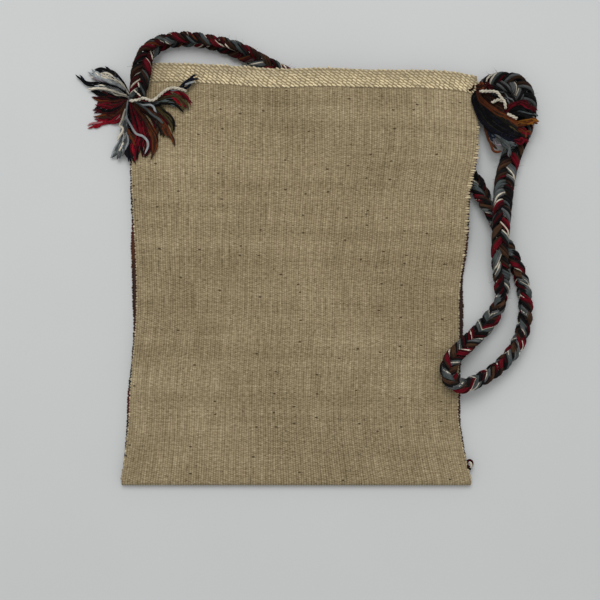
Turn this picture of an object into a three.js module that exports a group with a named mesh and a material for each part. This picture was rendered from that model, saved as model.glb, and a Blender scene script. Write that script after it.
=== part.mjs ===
// Wool crossbody bag, empty and lying on the floor with its plain face up.
// Millimetres. X runs across the bag, Y from the fold to the mouth, Z up from the floor.

import * as THREE from 'three';

const { clamp, degToRad, lerp, smoothstep } = THREE.MathUtils;

// Clearance between pieces that touch
const CLEAR = 0.3;

// Woven strip, folded once across its middle
const BAG_HEIGHT = 367;
const FOLD_WIDTH = 302.7;
const HIP_WIDTH = 283.3;
const WAIST_WIDTH = 280.2;
const MOUTH_WIDTH = 306.5;
const CLOTH = 2.4;
const RIB_COUNT = 32;
const RIB_DEPTH = 0.6;

// How the strip lies: sideways lean at each level, mouth lower on the right
const FOLD_LEAN = -4.6;
const HIP_LEAN = -7.1;
const WAIST_LEAN = -3.6;
const MOUTH_LEAN = 2.75;
const MOUTH_DROP = 9.2;
const HIP_AT = 0.17;
const WAIST_AT = 0.42;
const SHOULDER_AT = 0.8;

// The under half is a little wider, so its edge shows beside the plain half
const EDGE_PEEK = 3.7;

// Space between the halves
const SIDE_GAP = 2.2;
const MIDDLE_GAP = 8.2;
const GAP_POWER = 4;

// Twined bands along the mouth
const HEM_HEIGHT = 17;
const HEM_CLOTH = 2.9;
const HEM_RIDGES = 44;
const RIDGE_DEPTH = 0.8;
const RIDGE_SLANT = 9;

// Braided strap, tassels and yarns
const STRAP = 14;
const STRAP_SKIM = 0.6;
const TASSEL_HEAD = 8;
const TASSEL_THICK = 6;
const TIE_YARN = 2.4;
const SEAM_YARN = 1.2;
const STITCH_YARN = 2;
const SEAM_KNOT = 5;

// The strap lifts the cloth where it runs under the bag
const HUMP_SLACK = 1.8;
const HUMP_HEIGHT = STRAP + STRAP_SKIM + HUMP_SLACK;
const HUMP_SPREAD = 3 * STRAP;

// Cloth that climbs is drawn in: by its lift over this length, towards this point
const DRAW_LENGTH = 880;
const DRAW_X = -1.6;
const DRAW_Y = -25;

// Route of the strap from each mouth corner, as steps right, up and how far it is lifted
const ON_BAG = -1;
const LEFT_ROUTE = [
  [7, -21, ON_BAG], [9, 2.5, ON_BAG], [14.5, 12, ON_BAG], [28, 20.5, 0], [48, 22, 0], [72, 18.5, 0],
  [95.5, 11, 0], [122, -2.5, 0], [180, -33.5, 0],
];
const RIGHT_ROUTE = [
  [-60, -56.5, 0], [-20, -73.5, 0], [-1, -91, 0], [8, -117.5, 0], [18, -144, 0], [29, -166, 0],
  [37, -191, 0], [38.5, -215.5, 0], [31, -241, 0], [13.5, -261.5, 0], [-9.5, -274.5, ON_BAG],
  [-23, -276, ON_BAG], [-30, -266, ON_BAG], [-26, -253, ON_BAG], [-12, -239.5, ON_BAG],
  [4, -224, ON_BAG], [15.5, -206.5, 0], [18.5, -188, 0.05], [15, -166, 0.9], [15.5, -146, 1.03],
  [17, -128, 1.02], [20, -110, 0.55], [24, -91.5, 0], [31, -69.5, 0], [40.5, -47.5, 0],
  [42.5, -26, 0], [34, -10.5, 0], [16, -9, 0],
];

// Tassel heads from each mouth corner, and their tufts as direction and reach
const LEFT_HEAD = [5, -37];
const LEFT_TUFTS = [
  [18, 56], [355, 50], [332, 40], [311, 51], [288, 51], [267, 57], [244, 50], [210, 45], [187, 38],
  [160, 56], [140, 46],
];
const RIGHT_HEAD = [1, -20];
const RIGHT_TUFTS = [[331, 58], [318, 55], [305, 58], [291, 62], [277, 42]];
const RIGHT_TASSEL_AIM = -37;
const LEFT_TUFT_HALF = 9;
const RIGHT_TUFT_HALF = 5.5;
const TASSEL_TOUCH = 20;

// Tails of the two cream ties, from the tassel heads
const LEFT_TAIL = [[-7, 1], [0, 1], [6, 2], [13, -0.5], [17.5, 2], [23, 7], [30, 10.5], [37, 10.5], [44, 8]];
const RIGHT_TAIL = [[1, 2], [8, 2.5], [14.5, 1.5], [20, -5.5], [23, -12.5]];

// Stitches that sew the strap on, from the mouth corners, and the knot at the right seam's foot
const LEFT_STITCH_DROP = 12;
const RIGHT_STITCH = [[-18, -10], [-13, -12], [-8.8, -12.5]];
const KNOT_RISE = 19;
const SEAM_INSET = 1.5;
const SEAM_TOP = 3;

const FOLD_Y = -(BAG_HEIGHT + MOUTH_DROP / 2) / 2;
const BEND = SIDE_GAP / 2 + CLOTH;

function level(fold, hip, waist, mouth, u) {
  if (u < HIP_AT) {
    return hip + (fold - hip) * Math.pow(1 - u / HIP_AT, 1.5);
  }
  if (u < WAIST_AT) {
    return lerp(hip, waist, smoothstep(u, HIP_AT, WAIST_AT));
  }
  return lerp(waist, mouth, smoothstep(u, WAIST_AT, SHOULDER_AT));
}

function lean(u) {
  return level(FOLD_LEAN, HIP_LEAN, WAIST_LEAN, MOUTH_LEAN, u);
}

function halfWidth(u, under) {
  const half = level(FOLD_WIDTH, HIP_WIDTH, WAIST_WIDTH, MOUTH_WIDTH, u) / 2;
  const shows = smoothstep(u, 0.05, 0.25) * (1 - smoothstep(u, 0.45, 0.7));
  return under ? half + EDGE_PEEK * shows : half;
}

// Point of the flat cloth at share r across (-1 to 1) and height h above the fold
function plan(r, h, under) {
  const u = clamp(h / BAG_HEIGHT, 0, 1);
  const x = lean(u) + r * halfWidth(u, under);
  return [x, FOLD_Y + h * (1 - (MOUTH_DROP * r) / (2 * BAG_HEIGHT))];
}

const LEFT_CORNER = plan(-1, BAG_HEIGHT, false);
const RIGHT_CORNER = plan(1, BAG_HEIGHT, false);

function from(corner, step) {
  return [corner[0] + step[0], corner[1] + step[1]];
}

// Line of the strap under the bag
const HIDDEN = [
  ...LEFT_ROUTE.slice(-3).map((step) => from(LEFT_CORNER, step)),
  ...RIGHT_ROUTE.slice(0, 5).map((step) => from(RIGHT_CORNER, step)),
].map(([x, y]) => new THREE.Vector3(x, y, 0));

// Height of the cloth's underside above the floor
function hump(x, y) {
  const here = new THREE.Vector3(x, y, 0);
  const near = new THREE.Vector3();
  let away = Infinity;
  for (let i = 1; i < HIDDEN.length; i += 1) {
    new THREE.Line3(HIDDEN[i - 1], HIDDEN[i]).closestPointToPoint(here, true, near);
    away = Math.min(away, near.distanceTo(here));
  }
  if (away > HUMP_SPREAD) {
    return 0;
  }
  return (HUMP_HEIGHT / 2) * (1 + Math.cos((Math.PI * away) / HUMP_SPREAD));
}

// Space between the halves, widest along the middle
function gap(r, h) {
  const open = smoothstep(h, 0, 0.3 * BAG_HEIGHT);
  return SIDE_GAP + (MIDDLE_GAP - SIDE_GAP) * open * (1 - Math.pow(Math.abs(r), GAP_POWER));
}

// Top of the bag, hem included, at a point of the floor
function bagTop(x, y) {
  const h = clamp(y - FOLD_Y, 0, BAG_HEIGHT);
  const u = h / BAG_HEIGHT;
  const r = clamp((x - lean(u)) / halfWidth(u, false), -1, 1);
  return hump(x, y) + CLOTH + gap(r, h) + Math.max(CLOTH, HEM_CLOTH);
}

// Place of the cloth on the floor, drawn in where it climbs
function lie(r, h, under) {
  const [x, y] = plan(r, h, under);
  const pull = (hump(x, y) + gap(r, h) - SIDE_GAP) / DRAW_LENGTH;
  return [lerp(x, DRAW_X, pull), lerp(y, DRAW_Y, pull)];
}

// Point of one half of the cloth, depth 0 on its inner face and 1 on its outer face
function halfPoint(r, h, depth, thick, under) {
  const [x, y] = lie(r, h, under);
  const base = hump(x, y);
  if (under) {
    return [x, y, base + CLOTH - depth * thick];
  }
  return [x, y, base + CLOTH + gap(r, h) + depth * thick];
}

// Height of a half's inner face beside its edge, on the column that ends there
function innerFace(x, h, side, under) {
  const [x0, , z0] = halfPoint(side * (1 - 1 / RIB_COUNT), h, 0, CLOTH, under);
  const [x1, , z1] = halfPoint(side, h, 0, CLOTH, under);
  return lerp(z0, z1, (x - x0) / (x1 - x0));
}

// Moves each vertex of a geometry by a rule on its three coordinates
function shaped(geometry, rule) {
  const place = geometry.attributes.position;
  for (let i = 0; i < place.count; i += 1) {
    place.setXYZ(i, ...rule(place.getX(i), place.getY(i), place.getZ(i)));
  }
  geometry.computeVertexNormals();
  return geometry;
}

// Layer of cloth in two columns to a rib, grooved between the ribs on its outer face
function layer(ribs, groove, steps, rule) {
  const sheet = new THREE.BoxGeometry(2, 1, steps, 2 * ribs, 1, steps);
  return shaped(sheet, (r, side, run) => {
    const column = Math.round((r + 1) * ribs);
    const outside = column % 2 ? 1 : 1 - groove;
    return rule(r, side > 0 ? outside : 0, run + steps / 2);
  });
}

// Strip: rows run from the plain half's top, round the fold, to the under half's top
const STRIP_TOP = BAG_HEIGHT - HEM_HEIGHT - CLEAR;
const HUMP_ROWS = 11;
const PLAIN_ROWS = 4;
const HUMP_ZONE = 0.43 * BAG_HEIGHT;
const rows = [];
for (let i = 0; i < HUMP_ROWS; i += 1) {
  rows.push(STRIP_TOP - (HUMP_ZONE * i) / HUMP_ROWS);
}
for (let i = 0; i <= PLAIN_ROWS; i += 1) {
  rows.push(lerp(STRIP_TOP - HUMP_ZONE, KNOT_RISE, i / PLAIN_ROWS));
}
rows.push(BEND);
const FOLD_STEPS = 4;
const stripSteps = 2 * (rows.length - 1) + FOLD_STEPS;

function stripPoint(r, depth, step) {
  const last = rows.length - 1;
  const row = Math.round(step);
  const outer = depth > 0.5;
  if (row <= last) {
    return halfPoint(r, rows[row], depth, CLOTH, false);
  }
  if (row >= last + FOLD_STEPS) {
    const end = row === stripSteps;
    const flat = outer && !end ? 1 : depth;
    return halfPoint(r, rows[stripSteps - row], flat, CLOTH, true);
  }
  const turn = (Math.PI * (row - last)) / FOLD_STEPS;
  const flat = outer ? lerp(depth, 1, (row - last) / FOLD_STEPS) : depth;
  const reach = SIDE_GAP / 2 + flat * CLOTH;
  const [x, y] = plan(r, BEND, false);
  return [x, y - reach * Math.sin(turn), BEND + reach * Math.cos(turn)];
}

const strip = layer(RIB_COUNT, RIB_DEPTH / CLOTH, stripSteps, stripPoint);

// Hem: ridges slant down to the right across the band
function hem(under) {
  const bands = 3;
  return layer(HEM_RIDGES, RIDGE_DEPTH / HEM_CLOTH, bands, (r, depth, step) => {
    const part = under ? step / bands : 1 - step / bands;
    const h = lerp(BAG_HEIGHT - HEM_HEIGHT, BAG_HEIGHT, part);
    const slant = depth > 0.5 ? (RIDGE_SLANT / MOUTH_WIDTH) * (1 - 2 * part) * (1 - Math.pow(r, 8)) : 0;
    const base = under ? depth - (HEM_CLOTH - CLOTH) / HEM_CLOTH : depth;
    return halfPoint(r + slant, h, base, HEM_CLOTH, under);
  });
}

// Round section of a yarn or cord
function ring(diameter, sides) {
  const outline = [];
  for (let i = 0; i < sides; i += 1) {
    const turn = (2 * Math.PI * i) / sides;
    outline.push(new THREE.Vector2((diameter / 2) * Math.cos(turn), (diameter / 2) * Math.sin(turn)));
  }
  return new THREE.Shape(outline);
}

function yarn(points, diameter, sides, steps) {
  const path = new THREE.CatmullRomCurve3(points.map((p) => new THREE.Vector3(...p)));
  return new THREE.ExtrudeGeometry(ring(diameter, sides), { steps, extrudePath: path });
}

// Side seams run between the halves, just inside their edges
function seam(side) {
  const stops = [BAG_HEIGHT - SEAM_TOP, BAG_HEIGHT - HEM_HEIGHT / 2, ...rows].filter((h) => h >= KNOT_RISE);
  const steps = stops.length - 1;
  const cord = new THREE.ExtrudeGeometry(ring(SEAM_YARN, 6), { depth: steps, steps, bevelEnabled: false });
  return shaped(cord, (across, up, step) => {
    const h = stops[Math.round(step)];
    const r = side * (1 - SEAM_INSET / halfWidth(h / BAG_HEIGHT, false));
    const [x, y] = lie(r, h, false);
    const z = (innerFace(x, h, side, false) + innerFace(x, h, side, true)) / 2;
    return [x + across, y, z + up];
  });
}

// Knot that ends the right seam, against the cloth's edge
function knot() {
  const [x, y] = plan(1, KNOT_RISE, true);
  const ball = new THREE.SphereGeometry(SEAM_KNOT / 2, 10, 7);
  ball.scale(1, 1.2, 0.9);
  ball.translate(x + CLEAR + SEAM_KNOT / 2, y, BEND);
  return ball;
}

// Height of the strap's centreline where it crosses the bag, eases off it, or lies on the floor
const STRAP_FLOOR = STRAP / 2 + STRAP_SKIM;

function strapPoint(corner, [dx, dy, lift]) {
  const [x, y] = from(corner, [dx, dy]);
  if (lift !== ON_BAG) {
    return [x, y, STRAP_FLOOR + lift * (STRAP + CLEAR)];
  }
  const h = y - FOLD_Y;
  const u = clamp(h / BAG_HEIGHT, 0, 1);
  const beside = Math.abs(x - lean(u)) - halfWidth(u, true);
  const above = h - BAG_HEIGHT - MOUTH_DROP / 2;
  const away = Math.max(beside, above);
  const onTop = bagTop(x, y) + CLEAR + STRAP / 2;
  return [x, y, lerp(onTop, STRAP_FLOOR, smoothstep(away, 4, 20))];
}

const leftHead = from(LEFT_CORNER, LEFT_HEAD);
const rightHead = from(RIGHT_CORNER, RIGHT_HEAD);

// The strap's ends stop face to face with the tassel heads
function strapEnd(head, next) {
  const aim = new THREE.Vector2(next[0] - head[0], next[1] - head[1]).setLength(TASSEL_HEAD + CLEAR);
  return [head[0] + aim.x, head[1] + aim.y, next[2]];
}

const strapMiddle = [
  ...LEFT_ROUTE.map((step) => strapPoint(LEFT_CORNER, step)),
  ...RIGHT_ROUTE.map((step) => strapPoint(RIGHT_CORNER, step)),
];
const strapRoute = [
  strapEnd(leftHead, strapMiddle[0]),
  ...strapMiddle,
  strapEnd(rightHead, strapMiddle[strapMiddle.length - 1]),
];

// Tassel: a head and loose tufts in one lobed layer, sloping with what it lies on
function tassel(head, tufts, half, rest) {
  const outline = new THREE.Shape();
  const at = (angle, reach) => [reach * Math.cos(degToRad(angle)), reach * Math.sin(degToRad(angle))];
  outline.moveTo(...at(tufts[0][0] + 60, TASSEL_HEAD));
  outline.lineTo(...at(tufts[0][0] + 30, TASSEL_HEAD));
  tufts.forEach(([angle, reach]) => {
    outline.lineTo(...at(angle + half, 0.45 * reach));
    outline.lineTo(...at(angle + 0.7 * half, 0.85 * reach));
    outline.lineTo(...at(angle + 2, reach));
    outline.lineTo(...at(angle - 3, 0.97 * reach));
    outline.lineTo(...at(angle - 0.7 * half, 0.8 * reach));
    outline.lineTo(...at(angle - half, 0.45 * reach));
  });
  const lastTuft = tufts[tufts.length - 1][0];
  outline.lineTo(...at(lastTuft - 18, TASSEL_HEAD));
  outline.lineTo(...at(lastTuft - 60, TASSEL_HEAD));
  const spread = new THREE.ExtrudeGeometry(outline, { depth: TASSEL_THICK, steps: 1, bevelEnabled: false });
  return shaped(spread, (x, y, z) => [head[0] + x, head[1] + y, rest(x, y) + z]);
}

// Left tassel rests on the plain half, which it touches a little inside the edge
const inward = 1 - TASSEL_TOUCH / halfWidth(1, false);
const edgeSlope = ((GAP_POWER * (MIDDLE_GAP - SIDE_GAP)) / halfWidth(1, false)) * Math.pow(inward, GAP_POWER - 1);
const touchTop = bagTop(LEFT_CORNER[0] + TASSEL_TOUCH, leftHead[1]) + CLEAR;
const leftRest = (x) => Math.max(touchTop + edgeSlope * (x + LEFT_HEAD[0] - TASSEL_TOUCH), STRAP_SKIM);

// Right tassel rests on the corner and climbs over the strap
const aimX = Math.cos(degToRad(RIGHT_TASSEL_AIM));
const aimY = Math.sin(degToRad(RIGHT_TASSEL_AIM));
const cornerTop = bagTop(rightHead[0] - TASSEL_HEAD, rightHead[1]) + CLEAR;
const climb = (STRAP_FLOOR + STRAP / 2 + CLEAR - cornerTop) / 34;
const rightRest = (x, y) => cornerTop + Math.max(climb, 0.05) * (x * aimX + y * aimY);

function tail(head, steps, rest) {
  const top = TASSEL_THICK + CLEAR + TIE_YARN / 2;
  return yarn(steps.map(([x, y]) => [head[0] + x, head[1] + y, rest(x, y) + top]), TIE_YARN, 8, 20);
}

// Stitch over the strap at the left corner: up one side, over and down the other
function leftStitch() {
  const [start, next] = strapMiddle;
  const y = LEFT_CORNER[1] - LEFT_STITCH_DROP;
  const along = (y - start[1]) / (next[1] - start[1]);
  const near = [lerp(start[0], next[0], along), y, lerp(start[2], next[2], along)];
  const reach = STRAP / 2 + 2 * CLEAR + STITCH_YARN / 2;
  const foot = bagTop(near[0] + reach, y) + CLEAR + STITCH_YARN / 2;
  const points = [[near[0] + reach, y, foot]];
  for (let turn = 0; turn <= 180; turn += 30) {
    const up = near[2] + CLEAR + reach * Math.sin(degToRad(turn));
    points.push([near[0] + reach * 1.04 * Math.cos(degToRad(turn)), y, up]);
  }
  points.push([near[0] - reach, y, foot]);
  return yarn(points, STITCH_YARN, 6, 14);
}

function rightStitch() {
  const points = RIGHT_STITCH.map((step) => {
    const [x, y] = from(RIGHT_CORNER, step);
    return [x, y, bagTop(x, y) + 2 * CLEAR + STITCH_YARN / 2];
  });
  return yarn(points, STITCH_YARN, 6, 6);
}

const plainWool = new THREE.MeshStandardMaterial({ name: 'plain_wool', color: 0x877a5e, roughness: 0.95 });
const creamWool = new THREE.MeshStandardMaterial({ name: 'cream_wool', color: 0xac9e7e, roughness: 0.95 });
const mixedWool = new THREE.MeshStandardMaterial({ name: 'mixed_wool', color: 0x5a4840, roughness: 0.95 });
const rustWool = new THREE.MeshStandardMaterial({ name: 'rust_wool', color: 0x5c3020, roughness: 0.95 });

const bag = new THREE.Group();
bag.name = 'wool_crossbody_bag';

function piece(name, geometry, material) {
  const mesh = new THREE.Mesh(geometry, material);
  mesh.name = name;
  bag.add(mesh);
}

piece('woven_body', strip, plainWool);
piece('front_hem', hem(false), creamWool);
piece('back_hem', hem(true), creamWool);
piece('left_seam', seam(-1), plainWool);
piece('right_seam', seam(1), plainWool);
piece('seam_knot', knot(), rustWool);
piece('strap', yarn(strapRoute, STRAP, 10, 78), mixedWool);
piece('left_tassel', tassel(leftHead, LEFT_TUFTS, LEFT_TUFT_HALF, leftRest), mixedWool);
piece('right_tassel', tassel(rightHead, RIGHT_TUFTS, RIGHT_TUFT_HALF, rightRest), mixedWool);
piece('left_tie', tail(leftHead, LEFT_TAIL, leftRest), creamWool);
piece('right_tie', tail(rightHead, RIGHT_TAIL, rightRest), creamWool);
piece('left_stitch', leftStitch(), rustWool);
piece('right_stitch', rightStitch(), rustWool);

export default bag;
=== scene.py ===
import bpy
import numpy as np
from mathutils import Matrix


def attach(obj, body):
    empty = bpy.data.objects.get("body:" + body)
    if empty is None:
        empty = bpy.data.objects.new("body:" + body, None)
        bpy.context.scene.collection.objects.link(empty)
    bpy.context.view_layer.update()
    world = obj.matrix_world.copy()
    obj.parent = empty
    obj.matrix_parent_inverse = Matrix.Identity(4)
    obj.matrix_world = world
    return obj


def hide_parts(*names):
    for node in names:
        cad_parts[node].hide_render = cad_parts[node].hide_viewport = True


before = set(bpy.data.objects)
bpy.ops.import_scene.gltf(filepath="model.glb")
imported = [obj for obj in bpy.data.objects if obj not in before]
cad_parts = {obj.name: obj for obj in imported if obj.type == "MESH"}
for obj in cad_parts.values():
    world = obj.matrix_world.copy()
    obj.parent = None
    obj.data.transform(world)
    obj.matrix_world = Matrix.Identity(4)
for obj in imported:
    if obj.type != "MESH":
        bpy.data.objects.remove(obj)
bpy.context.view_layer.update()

# Studio: a pale matt floor, an even sky and one wide soft lamp beyond the mouth of the bag.
# The bag lies on its under half, so the camera looks almost straight down on it.
VIEW_TILT = np.radians(5.0)
VIEW_DISTANCE = 0.880
VIEW_AIM = (-0.0016, -0.025)
LENS, SENSOR = 60.0, 36.0
SKY_STRENGTH = 0.60
LAMP_SIZE, LAMP_POWER, LAMP_TILT = 1.1, 17.0, np.radians(-28.0)
LAMP_PLACE = (-0.15, 0.90, 1.70)
FLOOR_HALF = 30000.0
MM = 0.001

scene = bpy.context.scene
scene.view_settings.view_transform = "Standard"
camera = bpy.data.objects.new("camera", bpy.data.cameras.new("camera"))
camera.data.lens = LENS
camera.data.sensor_width = SENSOR
camera.location = (VIEW_AIM[0], VIEW_AIM[1] - VIEW_DISTANCE * np.sin(VIEW_TILT), VIEW_DISTANCE * np.cos(VIEW_TILT))
camera.rotation_euler = (VIEW_TILT, 0.0, 0.0)
scene.collection.objects.link(camera)
scene.camera = camera


def tint(red, green, blue):
    """Colour as seen, from 0 to 255 each, as linear light: ((c + 0.055) / 1.055) to the power 2.4."""
    seen = np.array([red, green, blue]) / 255.0
    return tuple(np.where(seen <= 0.04045, seen / 12.92, ((seen + 0.055) / 1.055) ** 2.4).tolist())


class Shade:
    """A socket of a material's nodes. Sums, differences, products and quotients of it add Math nodes."""

    def __init__(self, tree, socket=None):
        self.tree = tree
        self.socket = socket

    def node(self, kind, settings=None, values=None, out=0):
        """Adds a node of that kind with its settings, a ramp's stops among them, and its sockets' values or links."""
        made = self.tree.nodes.new("ShaderNode" + kind)
        for name, setting in (settings or {}).items():
            if name == "stops":
                ends = made.color_ramp.elements
                ends[0].position, ends[0].color = setting[0][0], (*setting[0][1], 1.0)
                ends[1].position, ends[1].color = setting[-1][0], (*setting[-1][1], 1.0)
                for place, colour in setting[1:-1]:
                    ends.new(place).color = (*colour, 1.0)
            else:
                setattr(made, name, setting)
        for name, value in (values or {}).items():
            if isinstance(value, Shade):
                self.tree.links.new(value.socket, made.inputs[name])
            else:
                made.inputs[name].default_value = value
        return Shade(self.tree, made.outputs[out])

    def output(self, name):
        """Another output of the node that this socket belongs to."""
        return Shade(self.tree, self.socket.node.outputs[name])

    def math(self, operation, *terms):
        """One Math node on up to three values."""
        return self.node("Math", {"operation": operation}, dict(enumerate(terms)))

    def __add__(self, other):
        return self.math("ADD", self, other)

    def __sub__(self, other):
        return self.math("SUBTRACT", self, other)

    def __mul__(self, other):
        return self.math("MULTIPLY", self, other)

    def __truediv__(self, other):
        return self.math("DIVIDE", self, other)

    def ramp(self, value, stops):
        """Colour ramp through its stops, each a place and a colour, or a number for a grey."""
        stops = [(at, (shade,) * 3 if isinstance(shade, float) else shade) for at, shade in stops]
        return self.node("ValToRGB", {"stops": stops}, {0: value})

    def noise(self, place, scale, detail, **more):
        """Noise at a place, in cycles to a unit of it."""
        return self.node("TexNoise", None, {"Vector": place, "Scale": scale, "Detail": detail, **more})

    def mix(self, factor, first, second, blend="MIX"):
        """Mixes two colours by a factor."""
        first, second = [c if isinstance(c, Shade) else (*c, 1.0) for c in (first, second)]
        return self.node("Mix", {"data_type": "RGBA", "blend_type": blend}, {0: factor, 6: first, 7: second}, out=2)


def new_material(name, roughness, sheen=0.0, shine=0.2):
    """A material with one Principled shader. Returns it, its nodes and the shader."""
    material = bpy.data.materials.new(name)
    material.use_nodes = True
    shader = material.node_tree.nodes["Principled BSDF"]
    shader.inputs["Roughness"].default_value = roughness
    shader.inputs["Specular IOR Level"].default_value = shine
    shader.inputs["Sheen Weight"].default_value = sheen
    shader.inputs["Sheen Roughness"].default_value = 0.6
    return material, Shade(material.node_tree), shader


def finish_material(nodes, shader, colour, height, depth):
    """Links the colour and, through a Bump node of that depth in metres, the height to the shader."""
    relief = nodes.node("Bump", None, {"Strength": 1.0, "Distance": depth, "Height": height})
    nodes.tree.links.new(colour.socket, shader.inputs["Base Color"])
    nodes.tree.links.new(relief.socket, shader.inputs["Normal"])


def new_piece(name, points, faces, material):
    """Smooth mesh object at the origin, from points in millimetres and faces as lists of point numbers."""
    mesh = bpy.data.meshes.new(name)
    mesh.from_pydata(np.asarray(points) * MM, [], faces)
    mesh.polygons.foreach_set("use_smooth", np.ones(len(mesh.polygons), bool))
    mesh.materials.append(material)
    mesh.update()
    made = bpy.data.objects.new(name, mesh)
    scene.collection.objects.link(made)
    return made


floor_paint, nodes, shader = new_material("floor_paint", 0.8)
grain = nodes.noise(nodes.node("TexCoord", out=3), 9.0, 3.0)
finish_material(nodes, shader, nodes.mix(grain, tint(198, 200, 200), tint(202, 204, 204)), grain, 0.0002)
floor = new_piece("floor", FLOOR_HALF * np.array([(-1, -1, 0), (1, -1, 0), (1, 1, 0), (-1, 1, 0)]), [(0, 1, 2, 3)],
                  floor_paint)

world = bpy.data.worlds.new("sky")
world.use_nodes = True
world.node_tree.nodes["Background"].inputs["Color"].default_value = (1.0, 1.0, 1.0, 1.0)
world.node_tree.nodes["Background"].inputs["Strength"].default_value = SKY_STRENGTH
scene.world = world

lamp = bpy.data.objects.new("lamp", bpy.data.lights.new("lamp", "AREA"))
lamp.data.shape = "SQUARE"
lamp.data.size = LAMP_SIZE
lamp.data.energy = LAMP_POWER
lamp.location = LAMP_PLACE
lamp.rotation_euler = (LAMP_TILT, 0.0, 0.0)
scene.collection.objects.link(lamp)

# Bag: one strip of handwoven wool, folded across its middle, the plain beige half up and the banded half under it.
# Stout warp ribs run up the cloth and a thinner weft crosses them. The strap under the bag lifts it in a low hump.
# Lengths are in millimetres; widths and leans are those at the fold, the hip, the waist and the mouth.
BAG_HEIGHT = 367.0
FLAT_WIDTH, FLAT_LENGTH = 0.290, 0.705
CLOTH = 2.4
FOLD_Y = -185.8
MOUTH_DROP = 9.2
HIP_AT, WAIST_AT, SHOULDER_AT = 0.17, 0.42, 0.80
WIDTHS = (302.7, 283.3, 280.2, 306.5)
LEANS = (-4.6, -7.1, -3.6, 2.75)
EDGE_PEEK = 4.4
# Share of EDGE_PEEK by which the under half shows at the left and the right edge, at heights from fold 0 to mouth 1.
SHOWS = np.array([
    (0.03, 0.0, 0.0), (0.10, 0.35, 0.35), (0.20, 0.60, 0.50), (0.28, 0.35, 0.55), (0.36, 0.45, 0.85),
    (0.43, 0.95, 1.0), (0.50, 1.0, 0.50), (0.56, 0.95, 0.60), (0.62, 0.45, 0.40), (0.76, 0.30, 0.30),
    (0.86, 0.0, 0.0)])
RIGHT_DRAW, DRAWN_AT, DRAWN_OVER = 5.6, 0.705, 0.085
SIDE_GAP, MIDDLE_GAP = 2.2, 8.2
HUMP_HEIGHT, HUMP_SPREAD = 12.4, 58.0
DRAW_LENGTH, DRAW_TO = 880.0, (-1.6, -25.0)
# Stations of the strap from the left mouth corner to the right one; the bag lies over those of HUMP_LINE.
STRAP_ROUTE = np.array([
    (-145.6, 152.4, 15.8), (-143.5, 164.8, 15.8), (-139.1, 188.3, 16.1), (-133.2, 197.4, 12.2), (-122.0, 205.3, 7.6),
    (-102.5, 207.8, 7.6), (-78.5, 204.3, 7.6), (-55.0, 196.8, 7.6), (-28.5, 183.3, 7.6), (29.5, 152.3, 7.6),
    (94.0, 116.1, 7.6), (132.5, 97.1, 7.6), (151.5, 80.1, 7.6), (163.0, 57.1, 7.6), (174.0, 32.6, 7.6),
    (185.0, 10.6, 7.6), (193.0, -14.4, 7.6), (194.5, -38.9, 7.6), (187.0, -64.4, 7.6), (169.5, -84.9, 7.6),
    (146.5, -97.9, 13.7), (133.0, -99.4, 15.1), (126.0, -89.4, 16.2), (130.0, -76.4, 15.7), (144.0, -62.9, 14.8),
    (160.0, -47.4, 7.6), (171.5, -29.9, 7.6), (174.5, -11.4, 8.3), (171.0, 10.6, 20.5), (171.5, 30.6, 22.3),
    (173.0, 48.6, 22.2), (176.0, 66.6, 15.5), (180.0, 85.1, 7.6), (187.0, 107.1, 7.6), (196.5, 129.1, 7.6),
    (198.5, 150.6, 7.6), (190.0, 166.1, 7.6), (172.0, 167.6, 7.6), (163.7, 161.5, 7.6)])
HUMP_LINE = STRAP_ROUTE[7:15, :2]
HEM_HEIGHT = 17.0
STRIP_TOP = BAG_HEIGHT - HEM_HEIGHT - 0.3
BEND = SIDE_GAP / 2 + CLOTH
RIBS, RIB_STEPS, RIB_DEPTH = 139, 3, 0.55
INNER_STEPS, INNER_DEPTH = 41, 0.02
PLAIN_ROWS, FOLD_ROWS, UNDER_ROWS, FOLD_MARGIN = 104, 11, 58, 1.5


def ease(value, low, high):
    """0 below low, 1 above high, and 3t^2 - 2t^3 between them."""
    t = np.clip((value - low) / (high - low), 0.0, 1.0)
    return t * t * (3.0 - 2.0 * t)


def bell(value, middle, spread):
    """1 in the middle, falling to either side as e to the power of minus the squared share of the spread."""
    return np.exp(-((value - middle) / spread) ** 2)


def blend(first, second, share):
    """first where share is 0, second where it is 1, in a straight line between."""
    return first + (second - first) * share


def level(stops, u):
    """A size at height u (0 fold, 1 mouth): flared by a power of 1.5 below the hip, then eased to waist and mouth."""
    at_fold, at_hip, at_waist, at_mouth = stops
    low = at_hip + (at_fold - at_hip) * np.clip(1.0 - u / HIP_AT, 0.0, 1.0) ** 1.5
    middle = blend(at_hip, at_waist, ease(u, HIP_AT, WAIST_AT))
    high = blend(at_waist, at_mouth, ease(u, WAIST_AT, SHOULDER_AT))
    return np.where(u < HIP_AT, low, np.where(u < WAIST_AT, middle, high))


def half_width(u, under, right):
    """Half the cloth's width at height u, to the right or the left. The under half is wider by what shows of it, and
    the right edge is drawn in below the shoulder, by a bell curve."""
    shows = np.where(right, np.interp(u, SHOWS[:, 0], SHOWS[:, 2]), np.interp(u, SHOWS[:, 0], SHOWS[:, 1]))
    drawn = RIGHT_DRAW * bell(u, DRAWN_AT, DRAWN_OVER) * right
    return level(WIDTHS, u) / 2 + EDGE_PEEK * shows * under - drawn


def mouth_line(r):
    """Rise of the mouth's edge above a straight line: it sags left of the middle, swells to either side of that and
    rounds off at the right corner."""
    swells = 1.2 * bell(r, -0.78, 0.24) - 2.3 * bell(r, -0.18, 0.20) + 1.7 * bell(r, 0.70, 0.24)
    return swells - 2.6 * ease(r, 0.86, 1.0)


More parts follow.
